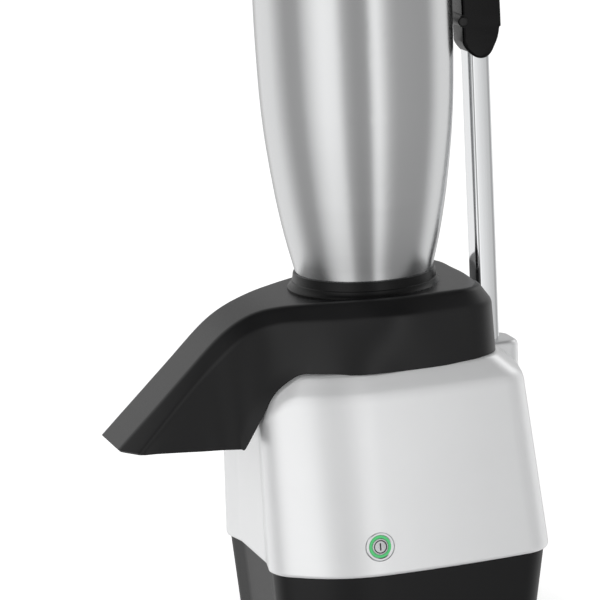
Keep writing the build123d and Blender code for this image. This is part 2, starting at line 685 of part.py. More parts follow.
with BuildPart() as column_screw:
    with BuildSketch(Plane(origin=(AX + 108.0, 0, 190.0 + DZ), x_dir=(0, 1, 0), z_dir=(1, 0, 0))):
        Circle(2.5)
    extrude(amount=19.6)
    with BuildSketch(Plane(origin=(AX, 0, 190.0 + DZ), x_dir=(1, 0, 0), z_dir=(0, -1, 0))):
        with BuildLine():
            Polyline((126.7, 0.0), (126.7, 4.8), (128.0, 4.8))
            ThreePointArc((128.0, 4.8), (129.9, 3.2), (130.5, 0.0))
            Line((130.5, 0.0), (126.7, 0.0))
        make_face()
    revolve(axis=Axis((AX, 0, 190.0 + DZ), (1, 0, 0)))
    with BuildSketch(Plane(origin=(AX + 128.4, 0, 190.0 + DZ), x_dir=(0, 1, 0), z_dir=(1, 0, 0))):
        RegularPolygon(1.9, 6)
    extrude(amount=4.0, mode=Mode.SUBTRACT)
column_screw.part.label = "column_screw"

HEAD = [(90.3, 458.0), (91.6, 453.6), (94.5, 449.6), (98.8, 445.4), (103.6, 443.0), (109.6, 443.0),
        (114.4, 446.2), (118.4, 453.0), (121.8, 461.5), (123.8, 470.5), (124.2, 480.0)]


def head_outline(t=0.0):
    """Side profile of the column's head, taken in by t."""
    row = []
    for i, (x, z) in enumerate(HEAD):
        (xa, za), (xb, zb) = HEAD[max(i - 1, 0)], HEAD[min(i + 1, len(HEAD) - 1)]
        dx, dz = xb - xa, zb - za
        if i == 0 or i == len(HEAD) - 1:
            dx, dz = 0.0, zb - za
        d = math.hypot(dx, dz)
        row.append((x - t * dz / d, z + t * dx / d))
    with BuildSketch(Plane.XY, mode=Mode.PRIVATE) as face:
        with BuildLine():
            Spline(row, tangents=[(0.0, -1.0), (0.0, 1.0)])
            Line(row[-1], (123.2 - t, 534.0))
            ThreePointArc((123.2 - t, 534.0), (X_PIVOT + 0.2, Z_PIVOT + 14.6 - t), (90.3 + t, 534.0))
            Line((90.3 + t, 534.0), row[0])
        make_face()
    return face.sketch


with BuildPart() as column_head:
    with BuildSketch(side()):
        add(head_outline())
    extrude(amount=11.4, both=True)
    for y0, t0, y1, t1 in ((-11.4, 0.0, -13.2, 0.9), (-13.2, 0.9, -14.0, 2.4),
                           (11.4, 0.0, 13.2, 0.9), (13.2, 0.9, 14.0, 2.4)):
        with BuildSketch(side(y0)):
            add(head_outline(t0))
        with BuildSketch(side(y1)):
            add(head_outline(t1))
        loft()
    # socket over the column's end
    with BuildSketch(level(438.0)):
        with Locations((COL_X, 0.0)):
            RectangleRounded(COL_X1 - COL_X0 + 0.2, 2 * COL_Y + 0.2, 4.1)
    extrude(amount=Z_COL1 - 438.0, mode=Mode.SUBTRACT)
    # slot for the lever
    with BuildSketch(side()):
        with Locations((107.0, 545.0)):
            Rectangle(60.0, 47.0)
    extrude(amount=ARM_HALF + 0.35, both=True, mode=Mode.SUBTRACT)
    # pin holes
    with BuildSketch(side(20.0)):
        with Locations((X_PIVOT, Z_PIVOT)):
            Circle(R_PIN)
    extrude(amount=40.0, mode=Mode.SUBTRACT)
    # knuckle of the clamp screw on the hopper's side
    with BuildSketch(side(14.0)):
        with Locations((91.6, 475.0)):
            Circle(5.4)
    extrude(amount=28.0)
    with BuildSketch(level(440.0)):
        with Locations((COL_X, 0.0)):
            RectangleRounded(COL_X1 - COL_X0 + 0.2, 2 * COL_Y + 0.2, 4.1)
    extrude(amount=60.0, mode=Mode.SUBTRACT)
    with BuildSketch(side(20.0)):
        with Locations((90.0, 475.0)):
            Circle(2.05)
    extrude(amount=40.0, mode=Mode.SUBTRACT)
column_head.part.label = "column_head"

with BuildPart() as head_screw:
    with BuildSketch(side(15.6)):
        with Locations((90.0, 475.0)):
            Circle(2.0)
    extrude(amount=30.0)
    with BuildSketch(side(-14.05)):
        with Locations((90.0, 475.0)):
            Circle(4.2)
    extrude(amount=2.4)
    fillet(head_screw.faces().filter_by(Plane.XZ).sort_by(Axis.Y)[0].edges(), 1.5)
head_screw.part.label = "head_screw"

with BuildPart() as pivot_pin:
    with BuildSketch(side(14.4)):
        with Locations((X_PIVOT, Z_PIVOT)):
            Circle(R_PIN - 0.05)
    extrude(amount=28.8)
    with BuildSketch(side(16.2)):
        with Locations((X_PIVOT, Z_PIVOT)):
            Circle(6.0)
    extrude(amount=2.15)
    with BuildSketch(side(-14.05)):
        with Locations((X_PIVOT, Z_PIVOT)):
            Circle(6.0)
    extrude(amount=2.15)
    fillet(pivot_pin.faces().filter_by(Plane.XZ).sort_by(Axis.Y)[0].edges(), 1.2)
    fillet(pivot_pin.faces().filter_by(Plane.XZ).sort_by(Axis.Y)[-1].edges(), 1.2)
pivot_pin.part.label = "pivot_pin"

with BuildPart() as lever_arm:
    with BuildSketch(side()):
        with BuildLine():
            ThreePointArc((X_PIVOT, Z_PIVOT + 11.0), (X_PIVOT + 11.0, Z_PIVOT), (X_PIVOT, Z_PIVOT - 11.0))
            Spline([(X_PIVOT, Z_PIVOT - 11.0), (86.0, 530.4), (40.0, 531.6), (-40.0, 531.6), (-84.0, 533.6)],
                   tangents=[(-1.0, 0.0), (-1.0, 0.12)])
            Line((-84.0, 533.6), (-84.0, 548.4))
            Spline([(-84.0, 548.4), (-40.0, 549.6), (40.0, 549.6), (86.0, 548.6), (X_PIVOT, Z_PIVOT + 11.0)],
                   tangents=[(1.0, 0.1), (1.0, 0.0)])
        make_face()
    extrude(amount=ARM_HALF, both=True)
    fillet(lever_arm.edges().filter_by(GeomType.BSPLINE), 2.2)
    with BuildSketch(side(20.0)):
        with Locations((X_PIVOT, Z_PIVOT)):
            Circle(R_PIN + 0.03)
    extrude(amount=40.0, mode=Mode.SUBTRACT)
    # tang for the grip, seat and hole for the pusher's stem
    with BuildSketch(Plane(origin=(AX - 84.0, 0, 541.0 + DZ), x_dir=(0, 1, 0), z_dir=(-1, 0, 0))):
        RectangleRounded(8.0, 9.0, 2.0)
    extrude(amount=60.0)
    with BuildSketch(level(531.0)):
        Circle(10.0)
    extrude(amount=12.0)
    with BuildSketch(level(530.0)):
        Circle(4.0)
    extrude(amount=12.0, mode=Mode.SUBTRACT)
lever_arm.part.label = "lever_arm"

with BuildPart() as lever_grip:
    with BuildSketch(side()):
        with BuildLine():
            Polyline((-84.2, 541.0), (-84.2, 550.0))
            Spline([(-84.2, 550.0), (-96.0, 552.4), (-128.0, 554.2), (-160.0, 552.8), (LEVER_TIP + 2.0, 547.0),
                    (LEVER_TIP, 541.0)], tangents=[(-1.0, 0.35), (0.0, -1.0)])
            Line((LEVER_TIP, 541.0), (-84.2, 541.0))
        make_face()
    revolve(axis=Axis((AX, 0, 541.0 + DZ), (1, 0, 0)))
    with BuildSketch(Plane(origin=(AX - 80.0, 0, 541.0 + DZ), x_dir=(0, 1, 0), z_dir=(-1, 0, 0))):
        RectangleRounded(8.0, 9.0, 2.0)
    extrude(amount=64.2, mode=Mode.SUBTRACT)
lever_grip.part.label = "lever_grip"

with BuildPart() as hopper_lid:
    with BuildSketch(side()):
        with BuildLine():
            Line((5.05, 524.4), (77.0, 524.4))
            Polyline((77.0, 524.4), (77.0, 517.2), (79.2, 517.2), (79.2, 522.4), (84.4, 522.4))
            ThreePointArc((84.4, 522.4), (84.6, 524.8), (82.6, 526.0))
            ThreePointArc((82.6, 526.0), (48.0, 529.3), (12.0, 530.4))
            Polyline((12.0, 530.4), (10.0, 530.9), (5.05, 530.9), (5.05, 524.4))
        make_face()
    revolve(axis=Axis((AX, 0, 0), (0, 0, 1)))
hopper_lid.part.label = "hopper_lid"

with BuildPart() as pusher_stem:
    with BuildSketch(side()):
        with BuildLine():
            Polyline((0.0, 445.0), (7.0, 445.0), (7.0, 524.3), (5.0, 524.3), (5.0, 530.9), (3.95, 530.9),
                     (3.95, 541.9), (0.0, 541.9), close=True)
        make_face()
    revolve(axis=Axis((AX, 0, 0), (0, 0, 1)))
pusher_stem.part.label = "pusher_stem"

with BuildPart() as pusher_plate:
    with BuildSketch(side()):
        with BuildLine():
            Polyline((0.0, 439.0), (38.0, 439.0), (42.0, 441.0), (42.0, 444.0), (38.0, 445.0), (0.0, 445.0), close=True)
        make_face()
    revolve(axis=Axis((AX, 0, 0), (0, 0, 1)))
    with BuildSketch(level(438.0)):
        with PolarLocations(26.0, 6):
            Circle(4.0)
    extrude(amount=8.0, mode=Mode.SUBTRACT)
pusher_plate.part.label = "pusher_plate"

# =====================================================================
# 8. Button, board, gland
# =====================================================================
with BuildPart() as button_bezel:
    with BuildSketch(BTN_PLANE.offset(-0.5)):
        Circle(12.0)
        Circle(9.2, mode=Mode.SUBTRACT)
    extrude(amount=3.1)
    chamfer(button_bezel.faces().sort_by(Axis.Y)[0].edges(), 0.7)
    with BuildSketch(BTN_PLANE.offset(-0.5)):
        Circle(11.0)
        Circle(9.2, mode=Mode.SUBTRACT)
    extrude(amount=-13.7)
button_bezel.part.label = "button_bezel"

with BuildPart() as button_led_ring:
    with BuildSketch(BTN_PLANE.offset(-4.0)):
        Circle(9.15)
        Circle(7.1, mode=Mode.SUBTRACT)
    extrude(amount=6.0)
button_led_ring.part.label = "button_led_ring"

with BuildPart() as button_cap:
    with BuildSketch(BTN_PLANE.offset(-5.0)):
        Circle(6.8)
    extrude(amount=7.4)
    fillet(button_cap.faces().sort_by(Axis.Y)[0].edges(), 0.6)
    with BuildSketch(BTN_PLANE.offset(-15.6)):
        Circle(3.0)
    extrude(amount=11.0)
button_cap.part.label = "button_cap"

with BuildPart() as switch_nut:
    with BuildSketch(BTN_PLANE.offset(-3.9)):
        RegularPolygon(14.5, 6)
        Circle(11.05, mode=Mode.SUBTRACT)
    extrude(amount=-3.0)
switch_nut.part.label = "switch_nut"

with BuildPart() as switch_body:
    with BuildSketch(BTN_PLANE.offset(-14.2)):
        Circle(10.4)
        Circle(3.06, mode=Mode.SUBTRACT)
    extrude(amount=-2.0)
    with BuildSketch(BTN_PLANE.offset(-16.2)):
        RectangleRounded(18.0, 18.0, 2.0)
    extrude(amount=-14.0)
    with BuildSketch(BTN_PLANE.offset(-16.2)):
        Circle(3.6)
    extrude(amount=-3.2, mode=Mode.SUBTRACT)
    with BuildSketch(BTN_PLANE.offset(-30.2)):
        with GridLocations(8.0, 6.0, 2, 2):
            Rectangle(3.0, 0.8)
    extrude(amount=-7.0)
switch_body.part.label = "switch_body"

with BuildPart() as control_board:
    with BuildSketch(Plane(origin=(AX + 82.0, 0, 100.0 + DZ), x_dir=(0, 1, 0), z_dir=(1, 0, 0))):
        Rectangle(80.0, 60.0)
        with GridLocations(70.0, 50.0, 2, 2):
            Circle(1.7, mode=Mode.SUBTRACT)
    extrude(amount=1.6)
    with BuildSketch(Plane(origin=(AX + 83.6, 0, 100.0 + DZ), x_dir=(0, 1, 0), z_dir=(1, 0, 0))):
        with Locations((-22.0, 10.0)):
            Rectangle(18.0, 15.0)
        with Locations((16.0, -10.0)):
            Rectangle(26.0, 22.0)
    extrude(amount=12.0)
control_board.part.label = "control_board"

with BuildPart() as board_posts:
    with BuildSketch(Plane(origin=(AX + 76.0, 0, 100.0 + DZ), x_dir=(0, 1, 0), z_dir=(1, 0, 0))):
        with GridLocations(70.0, 50.0, 2, 2):
            Circle(3.0)
    extrude(amount=6.0)
board_posts.part.label = "board_posts"

with BuildPart() as board_bracket:
    with BuildSketch(side()):
        with BuildLine():
            Polyline((74.0, 66.0), (76.0, 66.0), (76.0, 174.0), (75.2, 174.0), (75.2, 172.0), (74.0, 172.0), close=True)
        make_face()
    extrude(amount=42.0, both=True)
board_bracket.part.label = "board_bracket"

with BuildPart() as run_capacitor:
    with BuildSketch(level(66.0)):
        with Locations((-74.0, 0.0)):
            Circle(17.5)
    extrude(amount=72.0)
    fillet(run_capacitor.faces().filter_by(Plane.XY).edges(), 2.0)
run_capacitor.part.label = "run_capacitor"

with BuildPart() as cord_gland:
    with BuildSketch(GLAND_PLANE.offset(-1.6)):
        Circle(11.0)
        Circle(4.1, mode=Mode.SUBTRACT)
    extrude(amount=9.7)
    chamfer(cord_gland.faces().sort_by(Axis.Y)[-1].edges(), 1.4)
    with BuildSketch(GLAND_PLANE.offset(-1.6)):
        Circle(8.0)
        Circle(4.1, mode=Mode.SUBTRACT)
    extrude(amount=-12.0)
    with BuildSketch(GLAND_PLANE.offset(-4.6)):
        RegularPolygon(12.0, 6)
        Circle(7.9, mode=Mode.SUBTRACT)
    extrude(amount=-4.0)
cord_gland.part.label = "cord_gland"

NODES = {
    "rubber_feet": rubber_feet, "foot_screws": foot_screws, "bottom_plate": bottom_plate, "base_skirt": base_skirt,
    "base_screws": base_screws, "main_housing": main_housing, "crusher_body": crusher_body,
    "body_gasket": body_gasket, "body_screws": body_screws, "chamber_floor": chamber_floor,
    "chamber_liner": chamber_liner, "breaker_bars": breaker_bars, "shaft_seal": shaft_seal,
    "rotor_disc": rotor_disc, "rotor_blades": rotor_blades, "rotor_nut": rotor_nut,
    "motor_shaft": motor_shaft, "motor_can": motor_can, "upper_bearing": upper_bearing,
    "lower_bearing": lower_bearing, "cooling_fan": cooling_fan, "motor_plate": motor_plate,
    "motor_screws": motor_screws, "plate_spacers": plate_spacers, "hopper_collar": hopper_collar,
    "hopper": hopper, "column": column, "column_screw": column_screw, "column_head": column_head,
    "head_screw": head_screw, "pivot_pin": pivot_pin, "lever_arm": lever_arm, "lever_grip": lever_grip,
    "hopper_lid": hopper_lid, "pusher_stem": pusher_stem, "pusher_plate": pusher_plate,
    "button_bezel": button_bezel, "button_led_ring": button_led_ring, "button_cap": button_cap,
    "switch_nut": switch_nut, "switch_body": switch_body, "control_board": control_board,
    "board_posts": board_posts, "board_bracket": board_bracket, "run_capacitor": run_capacitor,
    "cord_gland": cord_gland,
}
for name, piece in NODES.items():
    piece.part.label = name
    export_step(piece.part, "parts/" + name + ".step")
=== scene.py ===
import bpy
import bmesh
import json
import math
import numpy as np
from mathutils import Vector, Matrix


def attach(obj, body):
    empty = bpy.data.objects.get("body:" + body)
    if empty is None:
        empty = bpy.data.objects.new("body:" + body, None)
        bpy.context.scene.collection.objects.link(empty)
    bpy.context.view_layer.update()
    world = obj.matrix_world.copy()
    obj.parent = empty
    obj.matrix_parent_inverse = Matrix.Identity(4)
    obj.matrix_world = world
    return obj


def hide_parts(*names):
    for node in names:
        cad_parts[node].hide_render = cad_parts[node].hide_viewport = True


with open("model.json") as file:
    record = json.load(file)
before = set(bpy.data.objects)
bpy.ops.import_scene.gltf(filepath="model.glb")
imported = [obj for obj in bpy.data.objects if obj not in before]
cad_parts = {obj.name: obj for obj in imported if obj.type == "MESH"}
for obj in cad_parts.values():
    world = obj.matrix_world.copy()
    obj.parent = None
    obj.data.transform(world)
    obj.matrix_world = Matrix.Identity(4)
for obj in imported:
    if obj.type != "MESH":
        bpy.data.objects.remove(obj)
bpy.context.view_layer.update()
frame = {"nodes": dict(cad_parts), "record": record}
nodes = frame["nodes"]
scene = bpy.context.scene
AX = 0.04597          # hopper axis, metres to the right of the origin
DZ = 26.0             # mm from the table up to the drawing datum


# ---------------------------------------------------------------- materials
def tree(name):
    m = bpy.data.materials.new(name)
    m.use_nodes = True
    nt = m.node_tree
    for n in list(nt.nodes):
        nt.nodes.remove(n)
    out = nt.nodes.new("ShaderNodeOutputMaterial")
    b = nt.nodes.new("ShaderNodeBsdfPrincipled")
    nt.links.new(b.outputs[0], out.inputs[0])
    return m, nt, b


def coords(nt, scale=(1, 1, 1)):
    tc = nt.nodes.new("ShaderNodeTexCoord")
    mp = nt.nodes.new("ShaderNodeMapping")
    mp.inputs["Scale"].default_value = scale
    nt.links.new(tc.outputs["Object"], mp.inputs["Vector"])
    return mp.outputs[0]


def noise(nt, vec, scale, detail=3.0, rough=0.5):
    n = nt.nodes.new("ShaderNodeTexNoise")
    n.inputs["Scale"].default_value = scale
    n.inputs["Detail"].default_value = detail
    n.inputs["Roughness"].default_value = rough
    nt.links.new(vec, n.inputs["Vector"])
    return n.outputs["Fac"]


def remap(nt, val, lo, hi, a=0.3, b=0.7):
    r = nt.nodes.new("ShaderNodeMapRange")
    r.inputs["From Min"].default_value = a
    r.inputs["From Max"].default_value = b
    r.inputs["To Min"].default_value = lo
    r.inputs["To Max"].default_value = hi
    nt.links.new(val, r.inputs["Value"])
    return r.outputs["Result"]


def mixcol(nt, fac, c0, c1):
    r = nt.nodes.new("ShaderNodeMix")
    r.data_type = "RGBA"
    r.inputs["A"].default_value = (*c0, 1)
    r.inputs["B"].default_value = (*c1, 1)
    nt.links.new(fac, r.inputs["Factor"])
    return r.outputs["Result"]


def bump(nt, b, h, strength, dist):
    n = nt.nodes.new("ShaderNodeBump")
    n.inputs["Strength"].default_value = strength
    n.inputs["Distance"].default_value = dist
    nt.links.new(h, n.inputs["Height"])
    nt.links.new(n.outputs[0], b.inputs["Normal"])
    return n


def coated(name, base, rough=0.45, metallic=0.0, grain=1800.0, grain_h=0.00004, vary=0.12, spec=0.5, coat=0.0,
           rvary=0.06, mottle=24.0):
    """Paint, powder coat or moulded plastic: fine grain, faint mottling, slightly uneven gloss."""
    m, nt, b = tree(name)
    v = coords(nt)
    big = noise(nt, v, mottle, 4.0, 0.55)
    fine = noise(nt, v, grain, 2.0, 0.6)
    c0 = [c * (1 - vary) for c in base]
    c1 = [min(1.0, c * (1 + vary)) for c in base]
    nt.links.new(mixcol(nt, big, c0, c1), b.inputs["Base Color"])
    nt.links.new(remap(nt, fine, rough - rvary, rough + rvary), b.inputs["Roughness"])
    bump(nt, b, fine, 0.6, grain_h)
    b.inputs["Metallic"].default_value = metallic
    b.inputs["Specular IOR Level"].default_value = spec
    b.inputs["Coat Weight"].default_value = coat
    b.inputs["Coat Roughness"].default_value = 0.2
    return m


def brushed(name, base, rough=0.25, stretch=(6, 6, 900), scale=1.0, depth=0.00002, aniso=0.0, rvary=0.08, vary=0.08,
            centre=None):
    """Brushed steel: long streaks, thin across them."""
    m, nt, b = tree(name)
    v = coords(nt, stretch)
    if centre is not None:
        # streaks run round the upright axis at centre: only height changes quickly
        tc = nt.nodes.new("ShaderNodeTexCoord")
        sep = nt.nodes.new("ShaderNodeSeparateXYZ")
        nt.links.new(tc.outputs["Object"], sep.inputs[0])
        dx = nt.nodes.new("ShaderNodeMath"); dx.operation = "SUBTRACT"
        dx.inputs[1].default_value = centre[0]
        nt.links.new(sep.outputs["X"], dx.inputs[0])
        ang = nt.nodes.new("ShaderNodeMath"); ang.operation = "ARCTAN2"
        nt.links.new(sep.outputs["Y"], ang.inputs[0])
        nt.links.new(dx.outputs[0], ang.inputs[1])
        co = nt.nodes.new("ShaderNodeMath"); co.operation = "COSINE"
        si = nt.nodes.new("ShaderNodeMath"); si.operation = "SINE"
        nt.links.new(ang.outputs[0], co.inputs[0])
        nt.links.new(ang.outputs[0], si.inputs[0])
        com = nt.nodes.new("ShaderNodeCombineXYZ")
        nt.links.new(co.outputs[0], com.inputs["X"])
        nt.links.new(si.outputs[0], com.inputs["Y"])
        nt.links.new(sep.outputs["Z"], com.inputs["Z"])
        mp = nt.nodes.new("ShaderNodeMapping")
        mp.inputs["Scale"].default_value = (0.7, 0.7, 2400.0)
        nt.links.new(com.outputs[0], mp.inputs["Vector"])
        v = mp.outputs[0]
        tan = nt.nodes.new("ShaderNodeTangent")
        tan.direction_type = "RADIAL"
        tan.axis = "Z"
        nt.links.new(tan.outputs[0], b.inputs["Tangent"])
    streak = noise(nt, v, scale, 5.0, 0.6)
    c0 = [c * (1 - vary) for c in base]
    c1 = [min(1.0, c * (1 + vary)) for c in base]
    nt.links.new(mixcol(nt, streak, c0, c1), b.inputs["Base Color"])
    nt.links.new(remap(nt, streak, rough - rvary, rough + rvary), b.inputs["Roughness"])
    bump(nt, b, streak, 0.5, depth)
    b.inputs["Metallic"].default_value = 1.0
    b.inputs["Anisotropic"].default_value = aniso
    b.inputs["Anisotropic Rotation"].default_value = 0.25
    return m


M = {}
M["housing_paint"] = coated("housing_paint", (0.83, 0.835, 0.84), rough=0.34, metallic=0.5, grain=2600, grain_h=0.00003,
                            vary=0.02, spec=0.5)
M["body_black"] = coated("body_black", (0.004, 0.004, 0.0044), rough=0.35, grain=2400, grain_h=0.00003, vary=0.15, spec=0.38)
M["skirt_plastic"] = coated("skirt_plastic", (0.003, 0.003, 0.0034), rough=0.42, grain=2000, grain_h=0.00004, vary=0.15, spec=0.32)
M["collar_black"] = coated("collar_black", (0.003, 0.003, 0.0032), rough=0.30, grain=2600, grain_h=0.00002, vary=0.12, spec=0.22)
M["head_black"] = coated("head_black", (0.002, 0.002, 0.0022), rough=0.26, grain=2200, grain_h=0.00002, vary=0.15, spec=0.2)
M["grip_plastic"] = coated("grip_plastic", (0.012, 0.012, 0.013), rough=0.28, grain=1500, grain_h=0.00003, vary=0.1, coat=0.2)
M["lid_plastic"] = coated("lid_plastic", (0.014, 0.014, 0.015), rough=0.42, grain=1800, grain_h=0.00004, vary=0.12)
M["foot_rubber"] = coated("foot_rubber", (0.02, 0.02, 0.02), rough=0.8, grain=900, grain_h=0.00008, vary=0.2)
M["gasket_rubber"] = coated("gasket_rubber", (0.012, 0.012, 0.012), rough=0.7, grain=1200, vary=0.2)
M["seal_rubber"] = coated("seal_rubber", (0.02, 0.02, 0.022), rough=0.6, grain=1200, vary=0.2)
M["gland_plastic"] = coated("gland_plastic", (0.02, 0.02, 0.02), rough=0.5, grain=1800, vary=0.15)
M["fan_plastic"] = coated("fan_plastic", (0.03, 0.03, 0.03), rough=0.5, vary=0.15)
M["switch_plastic"] = coated("switch_plastic", (0.03, 0.03, 0.035), rough=0.5, vary=0.15)
M["nut_plastic"] = coated("nut_plastic", (0.7, 0.69, 0.66), rough=0.5, vary=0.05)
M["pusher_plastic"] = coated("pusher_plastic", (0.62, 0.63, 0.64), rough=0.45, vary=0.04)
M["board_resin"] = coated("board_resin", (0.02, 0.12, 0.04), rough=0.35, vary=0.2, grain=900)
M["capacitor_plastic"] = coated("capacitor_plastic", (0.35, 0.36, 0.38), rough=0.35, vary=0.06)
M["motor_paint"] = coated("motor_paint", (0.04, 0.045, 0.05), rough=0.4, vary=0.15, grain=900)
M["dark_screw"] = coated("dark_screw", (0.03, 0.03, 0.03), rough=0.32, metallic=0.8, vary=0.15)
M["hopper_steel"] = brushed("hopper_steel", (0.66, 0.665, 0.67), rough=0.25, aniso=0.72, centre=(AX, 0.0), depth=0.0000006,
                            rvary=0.012, vary=0.03)
M["polished_steel"] = brushed("polished_steel", (0.80, 0.81, 0.82), rough=0.10, stretch=(700, 700, 4), depth=0.000004,
                              rvary=0.03, vary=0.03)
M["lever_steel"] = brushed("lever_steel", (0.70, 0.71, 0.72), rough=0.25, stretch=(6, 500, 500), depth=0.00001)
M["shaft_steel"] = brushed("shaft_steel", (0.66, 0.67, 0.68), rough=0.22, stretch=(200, 200, 500), depth=0.00001)
M["chamber_steel"] = brushed("chamber_steel", (0.55, 0.56, 0.57), rough=0.32, stretch=(60, 60, 500))
M["blade_steel"] = brushed("blade_steel", (0.55, 0.56, 0.58), rough=0.25, stretch=(300, 300, 40))
M["sheet_steel"] = brushed("sheet_steel", (0.6, 0.61, 0.62), rough=0.35, stretch=(8, 500, 500))
M["screw_steel"] = brushed("screw_steel", (0.55, 0.56, 0.57), rough=0.3, stretch=(400, 400, 400))
M["pin_steel"] = brushed("pin_steel", (0.30, 0.30, 0.31), rough=0.3, stretch=(400, 400, 400))
M["bearing_steel"] = brushed("bearing_steel", (0.65, 0.65, 0.66), rough=0.2, stretch=(300, 300, 600))
M["rotor_aluminium"] = brushed("rotor_aluminium", (0.6, 0.61, 0.62), rough=0.4, stretch=(60, 60, 60))
M["spacer_aluminium"] = brushed("spacer_aluminium", (0.6, 0.6, 0.62), rough=0.35, stretch=(300, 300, 600))
M["bezel_chrome"] = brushed("bezel_chrome", (0.75, 0.76, 0.77), rough=0.10, stretch=(400, 400, 400), depth=0.000003,
                            rvary=0.03, vary=0.03)
M["cap_steel"] = brushed("cap_steel", (0.62, 0.63, 0.64), rough=0.28, stretch=(900, 40, 900), depth=0.000006)
led, nt, b = tree("led_plastic")
v = coords(nt)
f = noise(nt, v, 500, 2.0)
nt.links.new(mixcol(nt, f, (0.05, 0.42, 0.13), (0.08, 0.52, 0.18)), b.inputs["Base Color"])
b.inputs["Roughness"].default_value = 0.35
b.inputs["Emission Color"].default_value = (0.10, 0.55, 0.18, 1)
b.inputs["Emission Strength"].default_value = 0.25
M["led_plastic"] = led

SOFT = ("column_head", "hopper_lid", "lever_grip")      # chamfers on these read as rounded edges
slot_of = {s["node"]: s["material_slot"] for s in frame["record"]["subparts"]} if "subparts" in frame["record"] else {}
for n, o in nodes.items():
    name = slot_of.get(n)
    if name is None and o.data.materials and o.data.materials[0]:
        name = o.data.materials[0].name.split(".")[0]
    m = M.get(name)
    if m is None:
        m = M["screw_steel"]
    o.data.materials.clear()
    o.data.materials.append(m)
    for p in o.data.polygons:
        p.use_smooth = True
    if "custom_normal" in o.data.attributes:
        o.data.attributes.remove(o.data.attributes["custom_normal"])
    w = o.modifiers.new("weld", "WELD")
    w.merge_threshold = 0.00001
    e = o.modifiers.new("split", "EDGE_SPLIT")
    e.split_angle = math.radians(62 if n in SOFT else 28)
    if n in SOFT:
        wnm = o.modifiers.new("normals", "WEIGHTED_NORMAL")
        wnm.mode = "FACE_AREA"
        wnm.weight = 90


# ---------------------------------------------------------------- geometry helpers (mm, X from the hopper axis)
def cspline(t, p, d0=None, d1=None):
    """Cubic spline through p at t; end slopes given or natural. Returns a function of an array."""
    t = np.asarray(t, float); p = np.asarray(p, float)
    one = p.ndim == 1
    if one:
        p = p[:, None]
    n = len(t); h = np.diff(t)
    A = np.zeros((n, n)); B = np.zeros((n, p.shape[1]))
    for i in range(1, n - 1):
        A[i, i - 1], A[i, i], A[i, i + 1] = h[i - 1], 2 * (h[i - 1] + h[i]), h[i]
        B[i] = 6 * ((p[i + 1] - p[i]) / h[i] - (p[i] - p[i - 1]) / h[i - 1])
    if d0 is None:
        A[0, 0] = 1
    else:
        A[0, 0], A[0, 1] = 2 * h[0], h[0]
        B[0] = 6 * ((p[1] - p[0]) / h[0] - np.asarray(d0, float))
    if d1 is None:
        A[-1, -1] = 1
    else:
        A[-1, -1], A[-1, -2] = 2 * h[-1], h[-1]
        B[-1] = 6 * (np.asarray(d1, float) - (p[-1] - p[-2]) / h[-1])
    m = np.linalg.solve(A, B)

    def f(x):
        x = np.atleast_1d(np.asarray(x, float))
        i = np.clip(np.searchsorted(t, x) - 1, 0, n - 2)
        a = (t[i + 1] - x)[:, None]; b = (x - t[i])[:, None]; hh = h[i][:, None]
        r = (m[i] * a ** 3 + m[i + 1] * b ** 3) / (6 * hh) + (p[i] / hh - m[i] * hh / 6) * a + (p[i + 1] / hh - m[i + 1] * hh / 6) * b
        return r[:, 0] if one else r
    return f


def path(points, d0=None, d1=None, n=24):
    """Smooth curve through points by chord length, n samples; d0 and d1 are end directions."""
    p = np.asarray(points, float)
    t = np.concatenate([[0], np.cumsum(np.linalg.norm(np.diff(p, axis=0), axis=1))])
    unit = lambda v: None if v is None else np.asarray(v, float) / np.linalg.norm(v)
    return cspline(t, p, unit(d0), unit(d1))(np.linspace(0, t[-1], n))


def rounded(profile, radii, steps, arc=6):
    """Profile of 3-D corner points: straight runs with the given subdivisions, corners rounded."""
    out = [profile[0]]
    for i in range(1, len(profile)):
        a, b = out[-1], profile[i]
        if i < len(profile) - 1:
            r = radii[i - 1]
            u = b - profile[i - 1]; w = profile[i + 1] - b
            lu, lw = np.linalg.norm(u), np.linalg.norm(w)
            r = min(r, 0.45 * lu, 0.45 * lw)
            s, e = b - u / max(lu, 1e-9) * r, b + w / max(lw, 1e-9) * r
            out += [a + (s - a) * k / steps[i - 1] for k in range(1, steps[i - 1] + 1)]
            for k in range(1, arc + 1):
                q = k / arc
                out.append(s * (1 - q) ** 2 + 2 * b * q * (1 - q) + e * q * q)
        else:
            out += [a + (b - a) * k / steps[i - 1] for k in range(1, steps[i - 1] + 1)]
    return out


